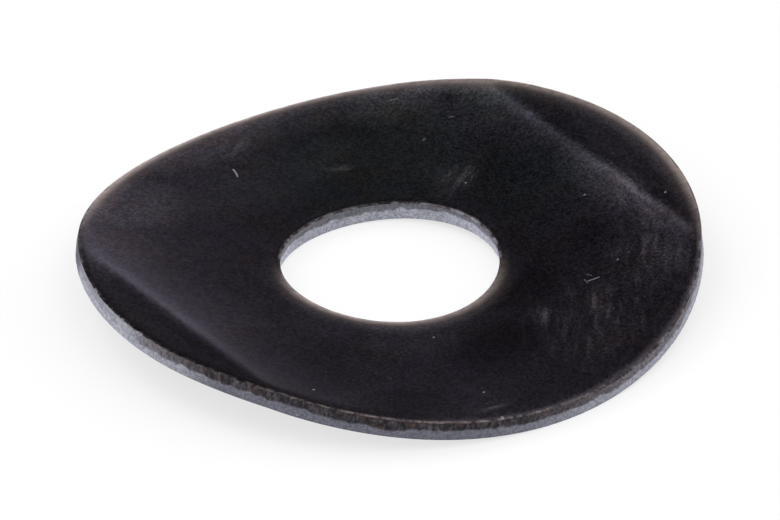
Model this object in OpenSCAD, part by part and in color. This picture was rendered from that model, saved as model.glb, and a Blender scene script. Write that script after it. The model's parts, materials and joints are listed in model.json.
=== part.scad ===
// Curved spring washer: a flat ring cut from sheet, bowed about one axis, with a lip bent flatter at each end.
// The origin is on the axis of the hole, where the underside of the bow touches the ground.
// The sheet is bowed about the Y axis, so the two lips stand up along X.

/* [Blank] */
// Outside diameter of the flat blank
outer_d = 24; // [22:0.5:40]
// Diameter of the hole
hole_d = 8.4; // [4:0.1:14]
// Thickness of the sheet
sheet_t = 0.8; // [0.5:0.05:1.5]

/* [Forming] */
// Radius of the bow, at the middle of the sheet's thickness
bow_r = 36.5; // [25:0.5:60]
// Distance along the sheet from the middle line to the start of each crease
bow_reach = 9.8; // [8.5:0.1:10.4]
// Radius of each crease, at its underside
crease_r = 3.4; // [1:0.1:5]
// Slope of the lips
lip_slope = 8; // [0:0.5:14]

/* [Cut edges] */
// Width of the edge that the cut rolled over, on the upper side
roll_w = 0.3; // [0.1:0.01:0.4]
// Depth of that rolled edge
roll_h = 0.14; // [0.05:0.01:0.2]
// Height of the smooth band that the cut left under the rolled edge
smooth_h = 0.28; // [0.1:0.01:0.3]
// How far the torn lower part of the rim draws in towards the underside
tear_in = 0.05; // [0.02:0.01:0.1]

/* [Hidden] */
$fn = 360;

blackened_steel = [0.14, 0.13, 0.13];

half_t = sheet_t / 2;
outer_r = outer_d / 2;
hole_r = hole_d / 2;

// The sheet's middle surface, seen from the side: the bow, the crease that turns back, then the straight lip
crease_mid_r = crease_r + half_t;
bow_turn = bow_reach / bow_r * 180 / PI;
crease_turn = bow_turn - lip_slope;
lip_start = bow_reach + crease_mid_r * crease_turn * PI / 180;
bow_centre = [0, half_t + bow_r];
crease_centre = bow_centre + (bow_r + crease_mid_r) * [sin(bow_turn), -cos(bow_turn)];
lip_foot = crease_centre + crease_mid_r * [-sin(lip_slope), cos(lip_slope)];

// Height of the lips' tips
tip_h = formed_side(outer_r, half_t)[1];

// Steps round the rim and round the hole's edge
rim_steps = 120;
hole_steps = 72;
// How far a cutting shape runs past the sheet
past = 0.25;
// Directions of the points along a rolled edge, from the wall round to the face
roll_angles = [22.5, 45, 67.5];

// Place on the formed sheet of a point of the flat blank: u across the bow, v along it, rise above mid-thickness
function formed(u, v, rise) =
    let (at = formed_side(abs(u), rise))
    [sign(u) * at[0], v, at[1]];

// The same, seen from the side at s along the sheet from the middle line
function formed_side(s, rise) =
    s < bow_reach ? bow_centre + (bow_r - rise) * from_bottom(s / bow_r)
    : s < lip_start ? crease_centre - (crease_mid_r + rise) * from_bottom((lip_start - s) / crease_mid_r, lip_slope)
    : lip_foot + (s - lip_start) * [cos(lip_slope), sin(lip_slope)] - rise * from_bottom(0, lip_slope);

// Direction that stands the given number of radians, and degrees, round from straight down
function from_bottom(radians, degrees = 0) =
    let (a = radians * 180 / PI + degrees)
    [sin(a), -cos(a)];

// Where the line from a through b reaches the given height, for points given as [radius, height]
function carried_on(a, b, height) = a + (b - a) * (height - a[1]) / (b[1] - a[1]);

// Points along the rolled edge, from the wall to the face; outward is 1 where it widens a hole, -1 on a rim
function rolled_edge(radius, outward) =
    [for (a = roll_angles) [radius + outward * roll_w * (1 - cos(a)), half_t - roll_h * (1 - sin(a))]];

// Half section of the blank, from below the underside to above the face
function rim_profile() =
    let (foot = [outer_r - tear_in, -half_t],
         tear_top = [outer_r, half_t - roll_h - smooth_h],
         wall_top = [outer_r, half_t - roll_h],
         roll = rolled_edge(outer_r, -1),
         face = [outer_r - roll_w, half_t])
    concat([carried_on(tear_top, foot, -half_t - past), tear_top, wall_top],
           roll,
           [carried_on(roll[len(roll) - 1], face, half_t + past)]);

// Half section of the shape that rolls over the hole's upper edge
function hole_edge_profile() =
    let (wall_top = [hole_r, half_t - roll_h],
         roll = rolled_edge(hole_r, 1),
         face = [hole_r + roll_w, half_t])
    concat([carried_on(roll[0], wall_top, half_t - roll_h - past)],
           roll,
           [carried_on(roll[len(roll) - 1], face, half_t + past)]);

// Closed shape of rings of the blank, given as [radius, height] from below upwards, laid on the formed sheet
module formed_plug(profile, steps) {
    last = (len(profile) - 1) * steps;
    points = [for (p = profile, i = [0 : steps - 1])
        formed(p[0] * cos(i * 360 / steps), p[0] * sin(i * 360 / steps), p[1])];
    wall = [for (k = [0 : len(profile) - 2], i = [0 : steps - 1])
        let (a = k * steps + i, b = k * steps + (i + 1) % steps)
        each [[a, a + steps, b + steps], [a, b + steps, b]]];
    underside = [for (i = [0 : steps / 2 - 1])
        i == 0 ? [0, 1, steps - 1]
        : i == steps / 2 - 1 ? [i, i + 1, steps - i]
        : [i, i + 1, steps - i - 1, steps - i]];
    face = [for (f = underside) [for (j = [len(f) - 1 : -1 : 0]) f[j] + last]];
    polyhedron(points, concat(wall, underside, face));
}

// Half of the plane beyond a join at the origin; it leans back above the join, where it overlaps its neighbour
module beyond_join() {
    polygon([[0, 0], [0, -outer_d], [outer_d, -outer_d], [outer_d, outer_d], [-outer_d, outer_d]]);
}

// All above a crease and its lip, drawn from the crease's centre, with the join to the bow straight above that
module above_crease_and_lip(rise) {
    radius = crease_mid_r + rise;
    difference() {
        intersection() {
            translate([0, radius])
                beyond_join();
            rotate(-crease_turn)
                translate([0, radius])
                    mirror([1, 0])
                        beyond_join();
        }
        circle(radius);
    }
    rotate(-crease_turn)
        translate([0, radius])
            polygon([[0, 0], [outer_d, 0], [outer_d, outer_d], [-outer_d, outer_d]]);
}

// All above the formed sheet's surface at the given rise from mid-thickness, seen from the side
module above(rise) {
    translate(bow_centre) {
        intersection() {
            circle(bow_r - rise);
            rotate(-bow_turn)
                translate([0, rise - bow_r])
                    beyond_join();
            rotate(bow_turn)
                translate([0, rise - bow_r])
                    mirror([1, 0])
                        beyond_join();
        }
        for (side = [0, 1])
            mirror([side, 0])
                rotate(bow_turn)
                    translate([0, -bow_r - crease_mid_r])
                        above_crease_and_lip(rise);
    }
}

module formed_strip() {
    rotate([90, 0, 0])
        linear_extrude(height = outer_d + 2 * past, center = true)
            difference() {
                above(-half_t);
                above(half_t);
            }
}

module washer() {
    color(blackened_steel)
        difference() {
            intersection() {
                formed_strip();
                formed_plug(rim_profile(), rim_steps);
            }
            translate([0, 0, -past])
                cylinder(r = hole_r, h = tip_h + 2 * past);
            formed_plug(hole_edge_profile(), hole_steps);
        }
}

washer();
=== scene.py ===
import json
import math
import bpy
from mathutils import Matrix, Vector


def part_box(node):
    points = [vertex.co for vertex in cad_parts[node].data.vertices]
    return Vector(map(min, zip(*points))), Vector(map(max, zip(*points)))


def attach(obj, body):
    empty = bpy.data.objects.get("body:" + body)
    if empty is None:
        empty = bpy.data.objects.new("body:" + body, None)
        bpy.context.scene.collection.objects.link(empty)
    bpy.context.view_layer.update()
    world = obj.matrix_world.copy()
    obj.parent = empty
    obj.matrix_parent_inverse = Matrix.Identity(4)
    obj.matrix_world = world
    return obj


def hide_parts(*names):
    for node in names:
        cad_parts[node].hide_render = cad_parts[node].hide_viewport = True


bl_info = {
    "name": "Curved spring washer",
    "version": (1, 0, 0),
    "blender": (4, 5, 0),
    "location": "3D View > Sidebar > Washer",
    "description": "Builds a blackened spring washer with its sheared edges, on a pale stage",
    "category": "Add Mesh",
}

import bmesh
import bpy
from bpy.props import FloatProperty, FloatVectorProperty, IntProperty, PointerProperty
from mathutils import Matrix, Vector, noise

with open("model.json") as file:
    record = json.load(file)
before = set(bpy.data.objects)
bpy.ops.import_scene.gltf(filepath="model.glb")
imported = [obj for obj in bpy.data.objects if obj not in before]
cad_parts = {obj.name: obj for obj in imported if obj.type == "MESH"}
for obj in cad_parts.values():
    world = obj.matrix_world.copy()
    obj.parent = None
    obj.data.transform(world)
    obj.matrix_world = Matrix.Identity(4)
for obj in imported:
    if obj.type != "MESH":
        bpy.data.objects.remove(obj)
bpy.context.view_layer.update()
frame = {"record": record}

MM = 0.001
NODE = "washer"
low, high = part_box(NODE)
bore = frame["record"]["mounts"][0]["dims"]


def length(name, description, default, smallest=0.0):
    """A property that holds a length in metres."""
    return FloatProperty(name=name, description=description, default=default, min=smallest,
                         unit="LENGTH", subtype="DISTANCE", precision=5)


def colour(name, description, default):
    """A property that holds a linear colour."""
    return FloatVectorProperty(name=name, description=description, default=default,
                               min=0.0, max=1.0, size=3, subtype="COLOR")


class WasherSizes(bpy.types.PropertyGroup):
    """Sizes of the washer"""

    outer_d: length("Outside diameter", "Diameter of the flat blank", high.y - low.y)
    hole_d: length("Hole diameter", "Diameter of the hole", 2 * bore["r_mm"] * MM)
    sheet_t: length("Sheet thickness", "Thickness of the spring steel sheet", 0.8 * MM)
    bow_r: length("Bow radius", "Radius of the bow at mid-thickness", 36.5 * MM)
    bow_reach: length("Bow reach", "From the middle line to the start of each crease", 9.8 * MM)
    crease_r: length("Crease radius", "Radius of each crease at its underside", 3.4 * MM)
    lip_slope: FloatProperty(name="Lip slope", description="Slope of the two lips",
                             default=math.radians(8), subtype="ANGLE")
    crease_shift: length("Crease shift", "How far both creases lie towards -X", 0.15 * MM)
    ridge_h: length("Ridge height", "Height of the soft ridge along each crease", 0.017 * MM)
    ridge_w: length("Ridge width", "Half width of that ridge", 0.42 * MM)
    drag_w: length("Drag width", "Width of the face that the cut dragged down at the rim", 0.9 * MM)
    drag_h: length("Drag depth", "How far the cut dragged it down at the rim", 0.06 * MM)
    corner_r: length("Corner radius", "Radius between the dragged face and the rim", 0.03 * MM)
    hole_share: FloatProperty(name="Hole share", default=0.6, min=0.1, max=1.0,
                              description="Share of the drag and the corner that the hole has")
    smooth_h: length("Smooth band", "Height of the smooth band that the cut left", 0.33 * MM)
    tear_in: length("Tear", "How far the torn zone draws in at the underside", 0.05 * MM)
    wedges: IntProperty(name="Wedges", default=30, min=3,
                        description="Equal pieces that the ring is made of")
    wedge_steps: IntProperty(name="Steps", default=30, min=2,
                             description="Steps round each of those pieces")


class WasherFinish(bpy.types.PropertyGroup):
    """Colours of the washer and its stage"""

    oxide: colour("Black oxide", "Colour of the blackened faces", (0.060, 0.054, 0.075))
    cool_tint: colour("Cool tint", "What cooler parts of the oxide are multiplied by", (0.80, 1.0, 0.84))
    warm_tint: colour("Warm tint", "What browner parts of the oxide are multiplied by", (1.0, 0.86, 0.76))
    # Paler colour of the face: partly a thinner oxide, partly painted sheen
    hazed: colour("Hazed oxide", "Where the oxide is thinner and paler", (0.245, 0.222, 0.28))
    rubbed: colour("Rubbed oxide", "Where handling has left pale streaks", (0.27, 0.225, 0.245))
    # On one side this worn colour is also painted sheen
    worn: colour("Worn edge", "Where handling has dulled the oxide near the edges", (0.32, 0.262, 0.25))
    # On one side this bare steel is also a painted glint
    bare: colour("Bare edge", "Steel that shows where the edges have lost their oxide", (0.80, 0.66, 0.61))
    rust: colour("Rust", "Brown stains of the cut edges", (0.15, 0.085, 0.055))
    # Also used for painted shade over the rolled edge
    smooth_cut: colour("Smooth band", "The dark smooth band of the cut edges", (0.019, 0.0165, 0.020))
    # This pale band colour is also painted light towards the rim's ends
    pale_cut: colour("Pale band", "The smooth band where it has lost its oxide", (0.20, 0.183, 0.20))
    torn_cut: colour("Torn zone", "The grey torn zone of the cut edges", (0.148, 0.150, 0.185))
    # Paler torn zone of the hole, and painted light at the rim's ends
    torn_hole: colour("Torn zone in the hole", "The paler torn zone of the hole and of the rim's ends",
                      (0.39, 0.40, 0.46))
    dust: colour("Dust", "Dust and bright nicks", (0.62, 0.61, 0.60))
    gloss_tint: colour("Gloss tint", "Tint of what the washer mirrors at low angles", (0.70, 0.67, 0.74))
    floor: colour("Floor", "The pale floor", (0.93, 0.93, 0.93))


class SheetForm:
    """Side view of the bent sheet: the bow, the crease that turns back, then the straight lip."""

    # Stretches along each side's crease over which it fades, towards its soft end and its sharp end
    SOFT_END = {-1: (1.2 * MM, 6.8 * MM), 1: (3.8 * MM, 7.4 * MM)}
    SHARP_END = {-1: (2.4 * MM, 6.4 * MM), 1: (6.0 * MM, 8.0 * MM)}
    # Share of a crease's turn that is left at its ends
    LEFT_AT_ENDS = 0.35

    def __init__(self, sizes):
        self.sizes = sizes
        self.crease_r = sizes.crease_r + sizes.sheet_t / 2
        self.centre = Vector((0, sizes.sheet_t / 2 + sizes.bow_r))

    @staticmethod
    def down(angle):
        """Direction that stands that far round from straight down."""
        return Vector((math.sin(angle), -math.cos(angle)))

    def reach(self, side):
        """Distance from the middle line to the start of the crease on that side."""
        return self.sizes.bow_reach - side * self.sizes.crease_shift

    def full_turn(self, side):
        """How far the crease on that side turns back where it is sharpest."""
        return self.reach(side) / self.sizes.bow_r - self.sizes.lip_slope

    def share_left(self, side, along):
        """Share of a crease's turn that is left at that place along it."""
        start, end = (self.SOFT_END if along > 0 else self.SHARP_END)[side]
        return 1 - (1 - self.LEFT_AT_ENDS) * smooth_step(start, end, abs(along))

    def seen_from_side(self, s, rise, side, share):
        """Place at s along the sheet from the middle line."""
        reach = self.reach(side)
        turn = self.full_turn(side) * share
        bow_turn = reach / self.sizes.bow_r
        ridge_at = reach + self.crease_r * self.full_turn(side) / 2
        rise += self.sizes.ridge_h * share * math.exp(-((s - ridge_at) / self.sizes.ridge_w) ** 2)
        if s < reach:
            return self.centre + (self.sizes.bow_r - rise) * self.down(s / self.sizes.bow_r)
        past = s - reach
        bend = self.crease_r * turn
        crease_centre = self.centre + (self.sizes.bow_r + self.crease_r) * self.down(bow_turn)
        if past < bend:
            return crease_centre - (self.crease_r + rise) * self.down(bow_turn - past / self.crease_r)
        slope = bow_turn - turn
        foot = crease_centre - (self.crease_r + rise) * self.down(slope)
        return foot + (past - bend) * Vector((math.cos(slope), math.sin(slope)))

    def place(self, at):
        """Where a point of the flat blank comes to lie; x is across the bow, z above mid-thickness."""
        side = -1 if at.x < 0 else 1
        seen = self.seen_from_side(abs(at.x), at.z, side, self.share_left(side, side * at.y))
        return Vector((side * seen.x, at.y, seen.y))


def smooth_step(start, end, value):
    """0 up to start, 1 from end, and a smooth rise between them."""
    t = min(1.0, max(0.0, (value - start) / (end - start)))
    return t * t * (3 - 2 * t)


# The dragged face falls away with this power of the distance
DRAG_POWER = 5


def dragged_edge(sizes, radius, outward):
    """Points (radius, height) from a cut edge up to the face; outward is 1 in a hole and -1 on the rim."""
    corner_rows = 5
    drag_rows = 7
    half_t = sizes.sheet_t / 2
    slope = drag_slope(sizes)
    scale = sizes.hole_share if outward > 0 else 1.0
    corner_r = sizes.corner_r * scale
    top = wall_top(sizes, outward > 0)
    turns = [math.pi / 2 + (slope - math.pi / 2) * k / corner_rows for k in range(corner_rows + 1)]
    points = [(corner_r * (1 - math.sin(a)), top + corner_r * math.cos(a)) for a in turns]
    corner_w = points[-1][0]
    for k in range(1, drag_rows + 1):
        # The rows lie closer together towards the edge, where the face falls away fastest
        share = (k / drag_rows) ** 2
        fall = sizes.drag_h * (1 - share) ** DRAG_POWER
        points.append((corner_w + scale * sizes.drag_w * share, half_t - scale * fall))
    return [(radius + outward * inset, height) for inset, height in points]


def wall_top(sizes, in_hole):
    """Height above mid-thickness at which the upright cut edge ends."""
    fall = sizes.drag_h + sizes.corner_r * math.cos(drag_slope(sizes))
    return sizes.sheet_t / 2 - fall * (sizes.hole_share if in_hole else 1.0)


def drag_slope(sizes):
    """Slope that the dragged face has reached where the corner begins."""
    return math.atan(DRAG_POWER * sizes.drag_h / sizes.drag_w)


def draw_section(bm, sizes):
    """Draws the ring's section as a closed wire, from its corners, and gives each stretch its rows."""
    half_t = sizes.sheet_t / 2
    outer_r = sizes.outer_d / 2
    hole_r = sizes.hole_d / 2
    # The lower corner is cut back by this much, in two steps
    foot = 0.03 * MM
    foot_step = 0.3 * foot
    band_rows, torn_rows, under_rows, face_rows = 6, 9, 10, 20

    def cut_edge(radius, outward):
        """Corners of the cut edge below its top, each with the rows that follow it."""
        return [(radius, wall_top(sizes, outward > 0) - sizes.smooth_h, torn_rows),
                (radius + outward * sizes.tear_in, foot - half_t, 1),
                (radius + outward * (sizes.tear_in + foot_step), foot_step - half_t, 1),
                (radius + outward * (sizes.tear_in + foot), -half_t, under_rows)]

    # The wire runs down the rim, in along the underside, up the hole's wall and out along the face
    outer_edge = [(r, h, 1) for r, h in reversed(dragged_edge(sizes, outer_r, -1))]
    outer_edge[-1] = (*outer_edge[-1][:2], band_rows)
    inner_cut = cut_edge(hole_r, 1)
    rows_up = [1, 1, torn_rows, band_rows]
    corners = outer_edge + cut_edge(outer_r, -1)
    corners += [(r, h, rows) for (r, h, _), rows in zip(reversed(inner_cut), rows_up)]
    corners += [(r, h, 1) for r, h in dragged_edge(sizes, hole_r, 1)]
    corners[-1] = (*corners[-1][:2], face_rows)

    verts = [bm.verts.new((r, 0, h)) for r, h, _ in corners]
    edges = [bm.edges.new((verts[k], verts[(k + 1) % len(verts)])) for k in range(len(verts))]
    for edge, (_, _, rows) in zip(edges, corners):
        if rows > 1:
            bmesh.ops.subdivide_edges(bm, edges=[edge], cuts=rows - 1)


def edge_noise(angle, radius, cells, seed=0.0):
    """Noise round an edge, with that many cells to the millimetre; each seed gives a pattern of its own."""
    around = Vector((math.cos(angle), math.sin(angle), 0)) * radius / MM
    return noise.noise(around * cells + Vector((0, 0, seed)))


def border_wave(angle, radius):
    """How far the border under the smooth band strays from its mean depth there, in millimetres."""
    slow = edge_noise(angle, radius, 0.28)
    teeth = abs(edge_noise(angle, radius, 1.7, seed=3.1))
    fine = edge_noise(angle, radius, 5.2, seed=7.7)
    return 0.13 * slow + 0.2 * (0.22 - teeth) + 0.045 * fine


def band_share(across, in_hole):
    """Share of its full height that the smooth band has there; on the rim it narrows towards +X."""
    return 0.7 if in_hole else 1 - 0.65 * smooth_step(4.5, 9.5, across)


def chip_depth(angle, radius):
    """How far small chips lower the upper corner there, in millimetres."""
    bites = edge_noise(angle, radius, 1.9, seed=11.3)
    fine = edge_noise(angle, radius, 6.0, seed=4.9)
    return 0.045 * max(0.0, bites - 0.1) + 0.012 * max(0.0, fine)


# Distance from a cut edge over which the chips fade
CHIP_FADE = (0.02 * MM, 0.09 * MM)
# Depth, in millimetres, over which a chip takes on the finish of the cut edge
CHIP_SHOWS = (0.001, 0.008)
# Least and greatest share of a cut edge's height that the smooth band takes up
LEAST_BAND = 0.12
GREATEST_BAND = 0.8
# Half the height over which the smooth band turns into the torn zone
BORDER_BLUR = 0.012 * MM
# The torn zone draws in with this power of the depth below the border
TEAR_POWER = 1.4
# Mean and swing of its grain, in millimetres, and the grain's cells to the millimetre
TEAR_GRAIN_MEAN = 0.006
TEAR_GRAIN_SWING = 0.011
TEAR_GRAIN_CELLS = 6.0
# From this share of the torn zone's depth on, the lower corner keeps this share of its own inset
FOOT_FROM = 0.97
FOOT_KEPT = 0.3


def chip_corner(v, sizes, chip_mark):
    """Lowers a point of the face beside a cut edge by its chips, and marks how far they show."""
    radius = math.hypot(v.co.x, v.co.y)
    inset = min(sizes.outer_d / 2 - radius, radius - sizes.hole_d / 2)
    depth = (1 - smooth_step(*CHIP_FADE, inset)) * chip_depth(math.atan2(v.co.y, v.co.x), radius)
    v.co.z -= depth * MM
    v[chip_mark] = smooth_step(*CHIP_SHOWS, depth)


def tear_edge(v, sizes, in_hole, torn_mark):
    """Moves a point of a cut edge, for a ragged border and a grainy zone below it that draws in."""
    radius = math.hypot(v.co.x, v.co.y)
    angle = math.atan2(v.co.y, v.co.x)
    top = wall_top(sizes, in_hole)
    wall_h = top + sizes.sheet_t / 2
    band_h = band_share(v.co.x / MM, in_hole) * sizes.smooth_h + MM * border_wave(angle, radius)
    border = min(GREATEST_BAND * wall_h, max(LEAST_BAND * wall_h, band_h))
    depth = top - v.co.z
    if depth < sizes.smooth_h:
        moved = depth * border / sizes.smooth_h
    else:
        moved = border + (depth - sizes.smooth_h) * (wall_h - border) / (wall_h - sizes.smooth_h)
    torn = smooth_step(border - BORDER_BLUR, border + BORDER_BLUR, moved)
    down = max(0.0, (moved - border) / (wall_h - border))
    spot = Vector((math.cos(angle) * radius, math.sin(angle) * radius, -moved)) / MM
    grain = noise.fractal(spot * TEAR_GRAIN_CELLS, 0.7, 2.0, 3)
    draw = sizes.tear_in * down ** TEAR_POWER + torn * MM * (TEAR_GRAIN_MEAN + TEAR_GRAIN_SWING * grain)
    edge_r, into_sheet = (sizes.hole_d / 2, 1) if in_hole else (sizes.outer_d / 2, -1)
    new_radius = edge_r + into_sheet * max(0.0, draw)
    if down > FOOT_FROM:
        new_radius += FOOT_KEPT * (radius - edge_r)
    v.co = Vector((math.cos(angle) * new_radius, math.sin(angle) * new_radius, top - moved))
    v[torn_mark] = torn


def shape_cut_edges(bm, sizes):
    """Gives both cut edges their chips, ragged border and torn zone, and marks the chips and the zone."""
    torn_mark = bm.verts.layers.float.new("torn")
    chip_mark = bm.verts.layers.float.new("chip")
    # The cut edges' own points, with the lower corner, lie within this distance of the plain radius
    edge_w = 1.3 * sizes.tear_in
    slack = 0.001 * MM
    for v in bm.verts:
        radius = math.hypot(v.co.x, v.co.y)
        on_rim = radius > sizes.outer_d / 2 - edge_w
        in_hole = radius < sizes.hole_d / 2 + edge_w
        if v.co.z > wall_top(sizes, in_hole) + slack:
            chip_corner(v, sizes, chip_mark)
        elif on_rim or in_hole:
            tear_edge(v, sizes, in_hole, torn_mark)


# Where the mesh gets an edge beside each crease: shares of the crease's width, from where it starts
CREASE_CUTS = (-1.2, -0.6, 0, 0.33, 0.67, 1, 1.6)


def cut_at_creases(bm, form):
    """Gives the flat ring edges along both creases, so that it can bend there."""
    for side in (-1, 1):
        crease_w = form.crease_r * form.full_turn(side)
        for share in CREASE_CUTS:
            across = side * (form.reach(side) + crease_w * share)
            bmesh.ops.bisect_plane(bm, geom=bm.verts[:] + bm.edges[:] + bm.faces[:], dist=0.004 * MM,
                                   plane_co=(across, 0, 0), plane_no=(1, 0, 0))


def washer_mesh(sizes):
    """Spins the section to a flat ring, shapes its cut edges, then bends it."""
    bm = bmesh.new()
    draw_section(bm, sizes)
    # The section is spun to a short piece of the ring, and then copies of that piece close the ring
    wedge = 2 * math.pi / sizes.wedges
    bmesh.ops.spin(bm, geom=bm.verts[:] + bm.edges[:], axis=(0, 0, 1), angle=wedge, steps=sizes.wedge_steps)
    bmesh.ops.spin(bm, geom=bm.verts[:] + bm.edges[:] + bm.faces[:], axis=(0, 0, 1),
                   angle=2 * math.pi - wedge, steps=sizes.wedges - 1, use_duplicate=True)
    bmesh.ops.remove_doubles(bm, verts=bm.verts, dist=0.0005 * MM)
    form = SheetForm(sizes)
    cut_at_creases(bm, form)
    bmesh.ops.recalc_face_normals(bm, faces=bm.faces)
    shape_cut_edges(bm, sizes)
    blank = bm.verts.layers.float_vector.new("blank")
    for v in bm.verts:
        v[blank] = v.co / MM
        v.co = form.place(v.co)
    for face in bm.faces:
        face.smooth = True
    mesh = bpy.data.meshes.new("spring_washer")
    bm.to_mesh(mesh)
    bm.free()
    return mesh


def add(tree, kind, inputs=None, **settings):
    """Adds a node, gives it its settings, and sets or links its inputs by name or number."""
    made = tree.nodes.new(kind)
    for name, value in settings.items():
        setattr(made, name, value)
    for key, value in (inputs or {}).items():
        socket = made.inputs[key]
        if isinstance(value, bpy.types.NodeSocket):
            tree.links.new(value, socket)
        else:
            socket.default_value = value
    return made


def maths(tree, operation, a, b=0.0, c=0.0):
    """Output of a Math node."""
    return add(tree, "ShaderNodeMath", {0: a, 1: b, 2: c}, operation=operation).outputs[0]


def product(tree, a, b):
    """Output of a Math node that multiplies."""
    return maths(tree, "MULTIPLY", a, b)


def larger(tree, a, b):
    """Output of a Math node that takes the larger value."""
    return maths(tree, "MAXIMUM", a, b)


def largest(tree, masks):
    """The largest of several masks at each place."""
    most, *others = masks
    for mask in others:
        most = larger(tree, most, mask)
    return most


def vector_maths(tree, operation, a, b=(0.0, 0.0, 0.0)):
    """Outputs of a Vector Math node: Vector, or Value where the result is a number."""
    return add(tree, "ShaderNodeVectorMath", {0: a, 1: b}, operation=operation).outputs


def ramp(tree, value, start, end, low_value=0.0, high_value=1.0):
    """Smooth change from low_value at start to high_value at end."""
    return add(tree, "ShaderNodeMapRange", {"Value": value, "From Min": start, "From Max": end,
               "To Min": low_value, "To Max": high_value}, interpolation_type="SMOOTHSTEP").outputs[0]


def mix_colour(tree, share, a, b, blend="MIX"):
    """Output of a Mix node for colours."""
    made = add(tree, "ShaderNodeMix", {0: share}, data_type="RGBA", blend_type=blend)
    for index, value in ((6, a), (7, b)):
        if isinstance(value, bpy.types.NodeSocket):
            tree.links.new(value, made.inputs[index])
        else:
            made.inputs[index].default_value = (*value, 1.0)
    return made.outputs[2]


def mix_value(tree, share, a, b):
    """Output of a Mix node for numbers."""
    return add(tree, "ShaderNodeMix", {0: share, 2: a, 3: b}, data_type="FLOAT").outputs[0]


def noise_value(tree, place, scale, detail=3.0, rough=0.55, distortion=0.0):
    """Value of a noise texture, about 0.5 on average."""
    return add(tree, "ShaderNodeTexNoise", {"Vector": place, "Scale": scale, "Detail": detail,
               "Roughness": rough, "Distortion": distortion}, noise_dimensions="3D").outputs["Fac"]


def attribute(tree, name, output):
    """Output of an Attribute node that reads what the mesh holds."""
    return add(tree, "ShaderNodeAttribute", attribute_name=name, attribute_type="GEOMETRY").outputs[output]


def empty_tree(owner):
    """Node tree of a new material or world, with nothing in it."""
    owner.use_nodes = True
    owner.node_tree.nodes.clear()
    return owner.node_tree


def new_group(name, vectors, numbers, outputs):
    """A shader node group with named inputs, first vectors and then numbers, and named outputs."""
    group = bpy.data.node_groups.new(name, "ShaderNodeTree")
    sockets = ((vectors, "INPUT", "NodeSocketVector"), (numbers, "INPUT", "NodeSocketFloat"),
               (outputs, "OUTPUT", "NodeSocketFloat"))
    for names, in_out, kind in sockets:
        for socket in names:
            group.interface.new_socket(socket, in_out=in_out, socket_type=kind)
    return group, group.nodes.new("NodeGroupInput").outputs, group.nodes.new("NodeGroupOutput").inputs


def placed(tree, group, inputs):
    """Places a group with the given inputs and returns its outputs."""
    return add(tree, "ShaderNodeGroup", inputs, node_tree=group).outputs


def grain_group():
    """Fine mottle of pickled and oxidised sheet: an even grain with larger blotches in it."""
    group, given, result = new_group("Oxide grain", ["Place"], ["Scale"], ["Mottle", "Height"])
    fine = noise_value(group, given["Place"], given["Scale"], detail=3.0, rough=0.7)
    coarse = noise_value(group, given["Place"], product(group, given["Scale"], 0.2), detail=2.0)
    both = maths(group, "MULTIPLY_ADD", coarse, 0.15, product(group, fine, 0.85))
    group.links.new(ramp(group, both, 0.30, 0.70), result["Mottle"])
    group.links.new(fine, result["Height"])
    return group


def specks_group():
    """Scattered specks of dust; only a share of the cells holds one."""
    group, given, result = new_group("Specks", ["Place"], ["Cells", "Size", "Share"], ["Mask"])
    wobble = add(group, "ShaderNodeTexNoise", {"Vector": given["Place"], "Scale": 9.0, "Detail": 2.0})
    bent = add(group, "ShaderNodeVectorMath", {0: wobble.outputs["Color"], 1: (0.06, 0.06, 0.06),
               2: given["Place"]}, operation="MULTIPLY_ADD")
    cells = add(group, "ShaderNodeTexVoronoi", {"Vector": bent.outputs[0], "Scale": given["Cells"],
                "Randomness": 1.0}, voronoi_dimensions="3D", feature="F1")
    pick = add(group, "ShaderNodeSeparateColor", {"Color": cells.outputs["Color"]}).outputs
    chosen = maths(group, "LESS_THAN", pick["Red"], given["Share"])
    reach = product(group, given["Size"], ramp(group, pick["Green"], 0.0, 1.0, 0.5, 1.0))
    near = ramp(group, maths(group, "DIVIDE", cells.outputs["Distance"], reach), 0.6, 1.0, 1.0, 0.0)
    bright = ramp(group, pick["Blue"], 0.0, 1.0, 0.3, 1.0)
    group.links.new(product(group, product(group, near, chosen), bright), result["Mask"])
    return group


def soft_oval(tree, place, middle, reach):
    """1 in the middle of an oval and 0 from its border on."""
    off = vector_maths(tree, "SUBTRACT", place, middle)["Vector"]
    share = vector_maths(tree, "DIVIDE", off, reach)["Vector"]
    return ramp(tree, vector_maths(tree, "LENGTH", share)["Value"], 0.2, 1.0, 1.0, 0.0)


def local_place(group, given):
    """The given place, seen from a patch's middle along its own axes."""
    turn = add(group, "ShaderNodeCombineXYZ", {"Z": given["Turn"]}).outputs[0]
    return add(group, "ShaderNodeMapping", {"Vector": given["Place"], "Location": given["Middle"],
               "Rotation": turn, "Scale": (1.0, 1.0, 1.0)}, vector_type="TEXTURE").outputs["Vector"]


def streaks_group():
    """Pale strokes rubbed along one direction, inside a soft oval."""
    group, given, result = new_group("Rubbed streaks", ["Place", "Middle", "Reach"], ["Turn", "Cut"],
                                     ["Mask"])
    local = local_place(group, given)
    inside = soft_oval(group, local, (0.0, 0.0, 0.0), given["Reach"])
    drawn = vector_maths(group, "MULTIPLY", local, (0.26, 1.35, 1.0))["Vector"]
    broad = noise_value(group, drawn, 0.9, detail=3.0, distortion=0.5)
    strokes = noise_value(group, drawn, 2.6, detail=4.0, rough=0.6)
    both = maths(group, "MULTIPLY_ADD", strokes, 0.55, product(group, broad, 0.45))
    shown = ramp(group, both, given["Cut"], maths(group, "ADD", given["Cut"], 0.26))
    group.links.new(product(group, shown, inside), result["Mask"])
    return group


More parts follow.
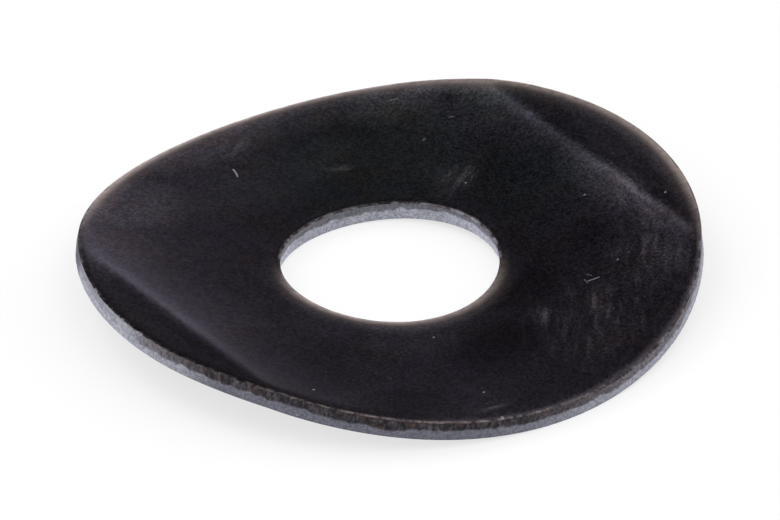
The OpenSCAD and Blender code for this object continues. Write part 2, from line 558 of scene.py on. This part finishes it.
def scratch_group():
    """One short scratch of the face, straight or a little curved."""
    group, given, result = new_group("Scratch", ["Place", "Middle"],
                                     ["Turn", "Half length", "Half width", "Curve"], ["Mask"])
    axes = add(group, "ShaderNodeSeparateXYZ", {"Vector": local_place(group, given)}).outputs
    along = maths(group, "ABSOLUTE", axes["X"])
    past_end = larger(group, maths(group, "SUBTRACT", along, given["Half length"]), 0.0)
    middle_line = product(group, product(group, axes["X"], axes["X"]), given["Curve"])
    off = maths(group, "SUBTRACT", axes["Y"], middle_line)
    away = maths(group, "SQRT", maths(group, "ADD", product(group, past_end, past_end),
                                      product(group, off, off)))
    near = ramp(group, maths(group, "DIVIDE", away, given["Half width"]), 0.5, 1.1, 1.0, 0.0)
    on_face = ramp(group, axes["Z"], 0.2, 0.3)
    group.links.new(product(group, near, on_face), result["Mask"])
    return group


# These five tables are laid out on the flat blank, in millimetres, with directions in radians.
# Pale rubbed patches: middle, reach along and across the strokes, their direction, cut and strength
RUBS = [
    ((3.6, -8.2), (4.6, 3.6), 0.95, 0.42, 0.38),
    ((7.4, -6.2), (3.6, 2.2), 0.95, 0.42, 0.34),
    ((7.6, -7.4), (2.0, 2.0), 0.95, 0.40, 0.22),
    ((2.4, -6.6), (0.9, 0.38), 0.95, 0.32, 0.60),
    ((4.3, -7.2), (1.2, 0.4), 0.95, 0.32, 0.45),
    ((9.4, -3.0), (4.2, 1.4), 1.50, 0.40, 0.28),
    ((5.2, 2.8), (1.6, 1.0), 0.50, 0.40, 0.45),
    ((2.4, 6.6), (0.8, 0.3), -0.62, 0.30, 0.38),
    ((0.1, 10.4), (1.2, 0.8), 0.6, 0.40, 0.5),
    ((-3.0, -10.6), (1.1, 0.5), 0.0, 0.40, 0.6),
]

# Parts of the face that are paler, partly a paler oxide and partly painted sheen:
# middle, reach along X and Y, and strength
HAZES = [
    ((0.0, 12.3), (9.5, 3.8), 0.95),
    ((-6.0, 9.0), (4.0, 3.5), 0.72),
    ((-2.0, 8.5), (7.0, 4.0), 0.25),
    ((6.9, 9.3), (3.4, 2.7), 0.85),
    ((5.4, 5.6), (4.8, 4.2), 0.13),
    ((-2.5, -4.8), (3.8, 2.4), 0.2),
    ((-1.2, -2.8), (3.9, 3.3), 0.6),
    ((-4.0, -10.0), (4.5, 2.5), 0.12),
    ((11.0, 0.5), (1.4, 6.5), 0.22),
    ((10.2, 3.9), (1.4, 1.8), 0.16),
    ((4.2, 10.4), (3.0, 1.8), 0.55),
    ((9.3, 6.6), (1.8, 2.8), 0.26),
    ((9.2, -1.8), (1.4, 3.6), 0.15),
    ((-8.5, 6.2), (3.7, 4.7), 0.32),
    ((6.8, 7.0), (1.7, 1.8), 0.22),
    ((9.0, 3.2), (1.8, 1.8), 0.09),
    ((5.2, 3.4), (1.8, 1.8), 0.22),
    ((2.0, 7.6), (3.4, 2.4), 0.22),
    ((-5.0, -2.2), (1.8, 2.6), 0.22),
    ((3.4, -9.4), (1.8, 1.6), 0.12),
    ((7.2, -7.0), (1.8, 1.4), 0.08),
    ((9.0, 5.0), (1.4, 1.4), 0.16),
    ((-10.7, 4.8), (1.5, 2.3), 0.6),
]

# Parts of the face that are painted darker, a painted shade, in the same way
SHADES = [
    ((-8.5, -4.8), (5.6, 6.6), 0.6),
    ((-7.4, 0.6), (4.6, 7.4), 0.36),
    ((-6.8, -8.8), (4.0, 2.6), 0.5),
    ((3.0, -4.5), (2.5, 2.5), 0.3),
    ((0.2, -7.2), (3.2, 2.0), 0.42),
    ((8.2, 2.6), (3.0, 3.2), 0.28),
    ((7.0, -4.0), (1.6, 1.4), 0.35),
]

# Where the oxide looks cooler, in the same way
COOL = [
    ((3.5, 6.0), (7.5, 6.5), 1.0),
    ((7.0, 1.0), (4.5, 5.0), 0.8),
    ((9.4, 6.2), (3.2, 3.6), 0.8),
]

# Scratches and nicks: middle, direction, half length, half width, curve and strength
SCRATCHES = [
    ((-0.92, 8.83), 1.25, 0.28, 0.038, 0.25, 0.45),
    ((5.23, -6.08), -0.26, 0.22, 0.034, 0.0, 0.34),
    ((4.94, -5.97), 1.45, 0.12, 0.032, 0.0, 0.22),
    ((5.26, -5.75), 2.00, 0.09, 0.032, 0.0, 0.18),
    ((10.22, -4.06), 0.7, 0.03, 0.045, 0.0, 0.35),
    ((-3.09, -11.46), 1.3, 0.04, 0.065, 0.0, 0.28),
    ((6.6, 8.7), -0.5, 0.16, 0.030, 0.0, 0.16),
    ((5.9, 5.8), 0.0, 0.04, 0.050, 0.0, 0.2),
    ((7.5, 6.1), -0.6, 0.10, 0.030, 0.0, 0.2),
    ((5.4, 2.4), 0.0, 0.02, 0.045, 0.0, 0.3),
    ((8.1, -1.7), 0.0, 0.02, 0.045, 0.0, 0.3),
    ((6.6, -5.8), 0.3, 0.03, 0.040, 0.0, 0.25),
    ((-1.8, -5.3), 0.0, 0.02, 0.045, 0.0, 0.3),
    ((-2.6, -9.6), 0.0, 0.02, 0.050, 0.0, 0.4),
    ((-8.5, -6.7), 0.0, 0.02, 0.050, 0.0, 0.4),
]


# Height of the face above mid-thickness, and how far up and down its marks reach, in millimetres
FACE_LEVEL = 0.4
OVAL_REACH_Z = 2.0
STREAK_REACH_Z = 1.0
# Cells of the oxide's grain to the millimetre
GRAIN_SCALE = 9.0
# Directions on the blank, in degrees from +X: towards the part of the rim and of the hole's edge that is
# worn and also painted with sheen, towards the end of the rim that is painted paler as painted light, and
# towards the part of the hole's torn zone that is left darker, while painted light makes the rest of it
# paler
RIM_WORN_TOWARDS = 53
HOLE_WORN_TOWARDS = -122
RIM_BARE_TOWARDS = 167
HOLE_DARK_TOWARDS = 65


def strongest(tree, blank, ovals):
    """The strongest of several soft ovals at each place of the face."""
    masks = []
    for middle, reach, strength in ovals:
        oval = soft_oval(tree, blank, (*middle, FACE_LEVEL), (*reach, OVAL_REACH_Z))
        masks.append(product(tree, oval, strength))
    return largest(tree, masks)


def facing(tree, place, degrees):
    """Cosine of the angle between a direction on the blank and the way from its middle to each place."""
    towards = (math.cos(math.radians(degrees)), math.sin(math.radians(degrees)), 0.0)
    along = vector_maths(tree, "DOT_PRODUCT", place, towards)["Value"]
    return maths(tree, "DIVIDE", along, vector_maths(tree, "LENGTH", place)["Value"])


def oxide_colour(tree, finish, blank, across, mottle):
    """Black oxide colour: paler patches partly of painted sheen, painted shade, cooler and browner patches.
    """
    # The face is also painted paler towards the -X end, a painted sheen
    thin = larger(tree, strongest(tree, blank, HAZES), ramp(tree, across, -10.5, -1.0, 0.27, 0.0))
    oxide = mix_colour(tree, thin, finish.oxide, finish.hazed)
    oxide = mix_colour(tree, strongest(tree, blank, COOL), oxide, finish.cool_tint, "MULTIPLY")
    # Painted shade in patches
    oxide = mix_colour(tree, strongest(tree, blank, SHADES), oxide, (0.0, 0.0, 0.0))
    brown = ramp(tree, noise_value(tree, blank, 0.55, detail=3.0), 0.46, 0.66, 0.0, 0.8)
    oxide = mix_colour(tree, brown, oxide, finish.warm_tint, "MULTIPLY")
    dark_lip = ramp(tree, across, -10.6, -10.0, 0.62, 1.0)
    shade = product(tree, ramp(tree, mottle, 0.0, 1.0, 0.65, 1.35), dark_lip)
    return mix_colour(tree, 1.0, oxide, shade, "MULTIPLY")


def rubbed_streaks(tree, blank, mottle):
    """Mask of the pale streaks that handling has rubbed."""
    streaks = streaks_group()
    masks = []
    for middle, reach, turn, cut, strength in RUBS:
        mask = placed(tree, streaks, {"Place": blank, "Middle": (*middle, FACE_LEVEL),
                                      "Reach": (*reach, STREAK_REACH_Z), "Turn": turn, "Cut": cut})["Mask"]
        masks.append(product(tree, mask, strength))
    return product(tree, largest(tree, masks), ramp(tree, mottle, 0.0, 1.0, 0.7, 1.0))


def edge_masks(tree, blank, across, near_edge, worn_side):
    """Masks beside the edges: dulled and painted with sheen, painted shade, and bare with a painted glint.
    """
    # On one side only, handling wear and painted sheen pale the last millimetre before each edge,
    # and wear and a painted glint bare the edge itself
    dulled = product(tree, ramp(tree, near_edge, 0.0, 1.1, 1.0, 0.0),
                     ramp(tree, worn_side, 0.0, 1.0, 0.04, 0.62))
    # On the other side the rolled edge is painted darker, a painted shade
    thick = product(tree, ramp(tree, near_edge, 0.04, 0.32, 0.85, 0.0),
                    maths(tree, "SUBTRACT", 1.0, worn_side))
    patchy = noise_value(tree, blank, 3.2, detail=4.0, rough=0.7)
    bared = product(tree, ramp(tree, near_edge, 0.10, 0.48, 1.0, 0.0),
                    ramp(tree, patchy, 0.30, 0.60, 0.6, 1.0))
    # All round, and less so towards +X, the very edge has lost its oxide here and there
    nicked = product(tree, ramp(tree, near_edge, 0.05, 0.18, 0.20, 0.0), ramp(tree, patchy, 0.38, 0.62))
    nicked = product(tree, nicked, ramp(tree, across, -3.0, 4.0, 1.0, 0.4))
    return dulled, thick, larger(tree, product(tree, bared, worn_side), nicked)


def face_finish(tree, finish, grain_shape, blank, across, near_edge, worn_side):
    """Colour, roughness and relief of the blackened faces."""
    grain = placed(tree, grain_shape, {"Place": blank, "Scale": GRAIN_SCALE})
    rubbed = rubbed_streaks(tree, blank, grain["Mottle"])
    dulled, thick, bared = edge_masks(tree, blank, across, near_edge, worn_side)
    oxide = oxide_colour(tree, finish, blank, across, grain["Mottle"])
    shown = mix_colour(tree, rubbed, oxide, finish.rubbed)
    # Worn colour, on one side also painted sheen
    shown = mix_colour(tree, dulled, shown, finish.worn)
    # Painted shade over the rolled edge on the other side
    shown = mix_colour(tree, thick, shown, finish.smooth_cut)
    # Bare steel, partly a painted glint
    shown = mix_colour(tree, bared, shown, finish.bare)
    # The corner itself is a thin dark line
    shown = mix_colour(tree, ramp(tree, near_edge, 0.010, 0.035, 0.6, 0.0), shown, finish.smooth_cut)
    rough = maths(tree, "MULTIPLY_ADD", rubbed, 0.25, 0.19)
    rough = maths(tree, "MULTIPLY_ADD", grain["Mottle"], 0.06, rough)
    rough = maths(tree, "MULTIPLY_ADD", dulled, 0.2, rough)
    return shown, rough, product(tree, grain["Height"], 0.0008 * MM)


def cut_finish(tree, finish, grain_shape, blank, across, torn, in_hole):
    """Colour, roughness and relief of the cut edges: drawn streaks above, and torn grain below."""
    on_rim = maths(tree, "SUBTRACT", 1.0, in_hole)
    crystal = placed(tree, grain_shape, {"Place": blank, "Scale": GRAIN_SCALE})
    # Towards both ends, and over a longer stretch towards +X, the rim's cut edge is painted paler,
    # a painted light
    lost = larger(tree, ramp(tree, across, -5.0, 4.0), ramp(tree, across, -12.1, -11.0, 1.0, 0.0))
    lost = product(tree, lost, on_rim)
    # The rim's very end at -X is painted paler, a painted light
    bare_end = product(tree, ramp(tree, facing(tree, blank, RIM_BARE_TOWARDS), 0.95, 0.985), on_rim)

    drawn = vector_maths(tree, "MULTIPLY", blank, (1.0, 1.0, 0.45))["Vector"]
    drag = noise_value(tree, drawn, 7.0, detail=4.0, rough=0.7)
    band = mix_colour(tree, ramp(tree, drag, 0.42, 0.75, 0.0, 0.45), finish.smooth_cut, finish.pale_cut)
    stain = ramp(tree, noise_value(tree, blank, 2.4, detail=4.0, rough=0.7), 0.55, 0.68)
    band = mix_colour(tree, product(tree, stain, 0.28), band, finish.rust)
    sparkle = ramp(tree, crystal["Mottle"], 0.2, 0.8, 0.35, 1.0)
    pale = mix_colour(tree, sparkle, finish.smooth_cut, finish.pale_cut)
    # Painted light makes the band paler towards the rim's ends
    band = mix_colour(tree, product(tree, lost, lost), band, pale)

    zone = mix_colour(tree, in_hole, finish.torn_cut, finish.torn_hole)
    # Painted light makes the rim's torn zone paler towards its ends
    zone = mix_colour(tree, larger(tree, product(tree, lost, 0.85), bare_end), zone, finish.torn_hole)
    # Painted light: the hole's torn zone is painted paler away from one side
    dark_side = facing(tree, blank, HOLE_DARK_TOWARDS)
    paler = product(tree, ramp(tree, dark_side, 0.3, 0.9, 0.35, 0.0), in_hole)
    zone = mix_colour(tree, 1.0, zone, maths(tree, "ADD", paler, 1.0), "MULTIPLY")
    zone = mix_colour(tree, 1.0, zone, ramp(tree, crystal["Mottle"], 0.0, 1.0, 0.65, 1.2), "MULTIPLY")

    # The band takes on the zone's colour, nearly in full at the rim's end at -X, which is painted light,
    # and in part in the hole
    as_zone = larger(tree, product(tree, bare_end, 0.8), product(tree, in_hole, 0.30))
    band = mix_colour(tree, as_zone, band, zone)
    rough = mix_value(tree, torn, maths(tree, "MULTIPLY_ADD", drag, 0.2, 0.3), 0.62)
    height = mix_value(tree, torn, product(tree, drag, 0.004 * MM),
                       product(tree, crystal["Height"], 0.02 * MM))
    return mix_colour(tree, torn, band, zone), rough, height


def bright_marks(tree, blank, near_edge):
    """Mask of the scratches, nicks and dust."""
    specks, scratch = specks_group(), scratch_group()
    on_face = placed(tree, specks, {"Place": blank, "Cells": 0.9, "Size": 0.055, "Share": 0.5})["Mask"]
    on_edge = placed(tree, specks, {"Place": blank, "Cells": 2.4, "Size": 0.12, "Share": 0.2})["Mask"]
    at_edge = ramp(tree, near_edge, 0.1, 0.2, 1.0, 0.0)
    masks = [mix_value(tree, at_edge, product(tree, on_face, 0.18), product(tree, on_edge, 0.45))]
    for middle, turn, half_length, half_width, curve, strength in SCRATCHES:
        mask = placed(tree, scratch, {
            "Place": blank, "Middle": (*middle, 0.0), "Turn": turn, "Curve": curve,
            "Half length": half_length, "Half width": half_width})["Mask"]
        masks.append(product(tree, mask, strength))
    return largest(tree, masks)


def washer_material(sizes, finish):
    """Black oxide with handling marks on the faces, and the smooth and torn bands of the cut edges."""
    material = bpy.data.materials.new("blackened_steel")
    tree = empty_tree(material)
    blank = attribute(tree, "blank", "Vector")
    torn = attribute(tree, "torn", "Fac")
    chip = attribute(tree, "chip", "Fac")
    axes = add(tree, "ShaderNodeSeparateXYZ", {"Vector": blank}).outputs
    flat = add(tree, "ShaderNodeCombineXYZ", {"X": axes["X"], "Y": axes["Y"]}).outputs[0]
    radius = vector_maths(tree, "LENGTH", flat)["Value"]
    # The looks are laid out on the flat blank, in millimetres
    outer_r = sizes.outer_d / 2 / MM
    hole_r = sizes.hole_d / 2 / MM
    near_edge = maths(tree, "MINIMUM", maths(tree, "SUBTRACT", outer_r, radius),
                      maths(tree, "SUBTRACT", radius, hole_r))
    in_hole = ramp(tree, radius, hole_r + 1, hole_r + 2, 1.0, 0.0)
    top = mix_value(tree, in_hole, wall_top(sizes, False) / MM, wall_top(sizes, True) / MM)
    above_wall = maths(tree, "SUBTRACT", axes["Z"], top)
    on_wall = product(tree, ramp(tree, above_wall, -0.01, 0.012, 1.0, 0.0),
                      ramp(tree, near_edge, 0.09, 0.12, 1.0, 0.0))
    on_wall = larger(tree, on_wall, chip)
    # The side on which the edges are worn and also painted with sheen and a glint
    worn_side = mix_value(tree, in_hole, ramp(tree, facing(tree, flat, RIM_WORN_TOWARDS), -0.08, 0.48),
                          ramp(tree, facing(tree, flat, HOLE_WORN_TOWARDS), -0.20, 0.80))

    grain = grain_group()
    face, face_rough, face_relief = face_finish(tree, finish, grain, blank, axes["X"], near_edge, worn_side)
    cut, cut_rough, cut_relief = cut_finish(tree, finish, grain, blank, axes["X"], torn, in_hole)
    marks = bright_marks(tree, blank, near_edge)
    shown = mix_colour(tree, marks, mix_colour(tree, on_wall, face, cut), finish.dust)
    rough = mix_value(tree, marks, mix_value(tree, on_wall, face_rough, cut_rough), 0.6)
    metal = mix_value(tree, on_wall, 0.97, mix_value(tree, torn, 0.85, 0.57))
    metal = mix_value(tree, marks, metal, 0.0)
    relief = mix_value(tree, on_wall, face_relief, cut_relief)
    bump = add(tree, "ShaderNodeBump", {"Height": relief, "Distance": 1.0, "Strength": 1.0})
    shader = add(tree, "ShaderNodeBsdfPrincipled", {
        "Base Color": shown, "Roughness": rough, "Metallic": metal, "Normal": bump.outputs["Normal"],
        "IOR": 1.5, "Specular Tint": (*finish.gloss_tint, 1.0)})
    add(tree, "ShaderNodeOutputMaterial", {"Surface": shader.outputs["BSDF"]})
    return material


class WASHER_OT_spring_washer(bpy.types.Operator):
    """Build the bent ring with its sheared edges and blackened finish"""

    bl_idname = "washer.spring_washer"
    bl_label = "Spring Washer"

    def execute(self, context):
        sizes, finish = context.scene.washer_sizes, context.scene.washer_finish
        piece = bpy.data.objects.new("spring_washer", washer_mesh(sizes))
        context.scene.collection.objects.link(piece)
        piece.data.materials.append(washer_material(sizes, finish))
        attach(piece, "root")
        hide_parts(NODE)
        return {"FINISHED"}


# The view, worked out from the outline, hole and creases in the photograph
VIEW_AZIMUTH = math.radians(-35.157)
VIEW_ELEVATION = math.radians(32.341)
VIEW_ROLL = math.radians(-1.236)
VIEW_DISTANCE = 686.7 * MM
VIEW_LENS_MM = 833.25
VIEW_ABOVE = 0.802 * MM
VIEW_LEFT = 0.009 * MM

# Square soft lamps: name, azimuth and elevation in degrees, distance and size in metres, and power in watts
SOFTBOXES = [
    ("top_softbox", -35, 65, 0.5, 0.5, 0.55),
    ("left_softbox", -108, 38, 0.5, 1.0, 3.2),
    ("right_softbox", 64, 38, 0.5, 1.1, 4.3),
    ("back_panel", 194, 48, 0.45, 0.26, 0.35),
]

FLOOR_R = 1.2
# Share of white that the floor shows to the eye and to what mirrors it
FLOOR_GLOW = 0.7


def from_angles(azimuth, elevation):
    """Unit vector towards a place round the washer; azimuth 0 is in front of it, at -Y."""
    return Vector((math.sin(azimuth) * math.cos(elevation), -math.cos(azimuth) * math.cos(elevation),
                   math.sin(elevation)))


def add_camera(scene):
    """Camera at the photograph's angle."""
    back = from_angles(VIEW_AZIMUTH, VIEW_ELEVATION)
    turn = back.to_track_quat("Z", "Y").to_matrix().to_4x4() @ Matrix.Rotation(VIEW_ROLL, 4, "Z")
    data = bpy.data.cameras.new("camera")
    data.lens = VIEW_LENS_MM
    data.clip_start = 0.01
    data.clip_end = 10
    camera = bpy.data.objects.new("camera", data)
    aim = turn.to_3x3() @ Vector((-VIEW_LEFT, VIEW_ABOVE, 0))
    camera.matrix_world = Matrix.Translation(aim + VIEW_DISTANCE * back) @ turn
    scene.collection.objects.link(camera)
    scene.camera = camera


def add_softbox(scene, name, azimuth, elevation, distance, size, power):
    """Square lamp that faces the washer."""
    data = bpy.data.lights.new(name, "AREA")
    data.shape = "SQUARE"
    data.size = size
    data.energy = power
    lamp = bpy.data.objects.new(name, data)
    back = from_angles(math.radians(azimuth), math.radians(elevation))
    turn = back.to_track_quat("Z", "Y").to_matrix().to_4x4()
    lamp.matrix_world = Matrix.Translation(distance * back) @ turn
    scene.collection.objects.link(lamp)


def add_world(scene):
    """Room with a white wall low down all round, which darkens upwards."""
    world = bpy.data.worlds.new("studio")
    tree = empty_tree(world)
    direction = add(tree, "ShaderNodeTexCoord").outputs["Generated"]
    # The sine of the height above the horizon
    up = add(tree, "ShaderNodeSeparateXYZ", {"Vector": direction}).outputs["Z"]
    wall = ramp(tree, up, 0.10, 0.30, 1.0, 0.12)
    ceiling = ramp(tree, up, 0.56, 0.68, 1.0, 0.2)
    background = add(tree, "ShaderNodeBackground", {"Color": product(tree, wall, ceiling), "Strength": 1.0})
    add(tree, "ShaderNodeOutputWorld", {"Surface": background.outputs[0]})
    scene.world = world


def floor_material(finish):
    """Pale floor that what looks at it, or mirrors it, sees nearly white; it keeps the shadow."""
    material = bpy.data.materials.new("pale_floor")
    tree = empty_tree(material)
    diffuse = add(tree, "ShaderNodeBsdfDiffuse", {"Color": (*finish.floor, 1.0)})
    glow = add(tree, "ShaderNodeEmission", {"Color": (1.0, 1.0, 1.0, 1.0), "Strength": 1.0})
    rays = add(tree, "ShaderNodeLightPath").outputs
    seen = largest(tree, [rays["Is Camera Ray"], rays["Is Glossy Ray"], rays["Is Transmission Ray"]])
    share = product(tree, seen, FLOOR_GLOW)
    mixed = add(tree, "ShaderNodeMixShader", {0: share, 1: diffuse.outputs[0], 2: glow.outputs[0]})
    add(tree, "ShaderNodeOutputMaterial", {"Surface": mixed.outputs[0]})
    return material


class WASHER_OT_stage(bpy.types.Operator):
    """Add the pale floor, the soft lamps, the world and the camera"""

    bl_idname = "washer.stage"
    bl_label = "Stage"

    def execute(self, context):
        scene = context.scene
        bm = bmesh.new()
        bmesh.ops.create_circle(bm, cap_ends=True, segments=96, radius=FLOOR_R)
        mesh = bpy.data.meshes.new("floor")
        bm.to_mesh(mesh)
        bm.free()
        floor = bpy.data.objects.new("floor", mesh)
        scene.collection.objects.link(floor)
        mesh.materials.append(floor_material(scene.washer_finish))
        add_world(scene)
        for softbox in SOFTBOXES:
            add_softbox(scene, *softbox)
        add_camera(scene)
        scene.view_settings.view_transform = "Standard"
        return {"FINISHED"}


class WASHER_PT_panel(bpy.types.Panel):
    """Sizes, finish and operators of the washer"""

    bl_label = "Spring Washer"
    bl_idname = "WASHER_PT_panel"
    bl_space_type = "VIEW_3D"
    bl_region_type = "UI"
    bl_category = "Washer"

    def draw(self, context):
        for group in (context.scene.washer_sizes, context.scene.washer_finish):
            column = self.layout.column()
            for name in group.__annotations__:
                column.prop(group, name)
        self.layout.operator(WASHER_OT_spring_washer.bl_idname)
        self.layout.operator(WASHER_OT_stage.bl_idname)


CLASSES = (WasherSizes, WasherFinish, WASHER_OT_spring_washer, WASHER_OT_stage, WASHER_PT_panel)


def register():
    for cls in CLASSES:
        bpy.utils.register_class(cls)
    bpy.types.Scene.washer_sizes = PointerProperty(type=WasherSizes)
    bpy.types.Scene.washer_finish = PointerProperty(type=WasherFinish)


def unregister():
    del bpy.types.Scene.washer_finish
    del bpy.types.Scene.washer_sizes
    for cls in reversed(CLASSES):
        bpy.utils.unregister_class(cls)


def main():
    register()
    bpy.ops.washer.spring_washer()
    bpy.ops.washer.stage()


if __name__ == "__main__":
    main()
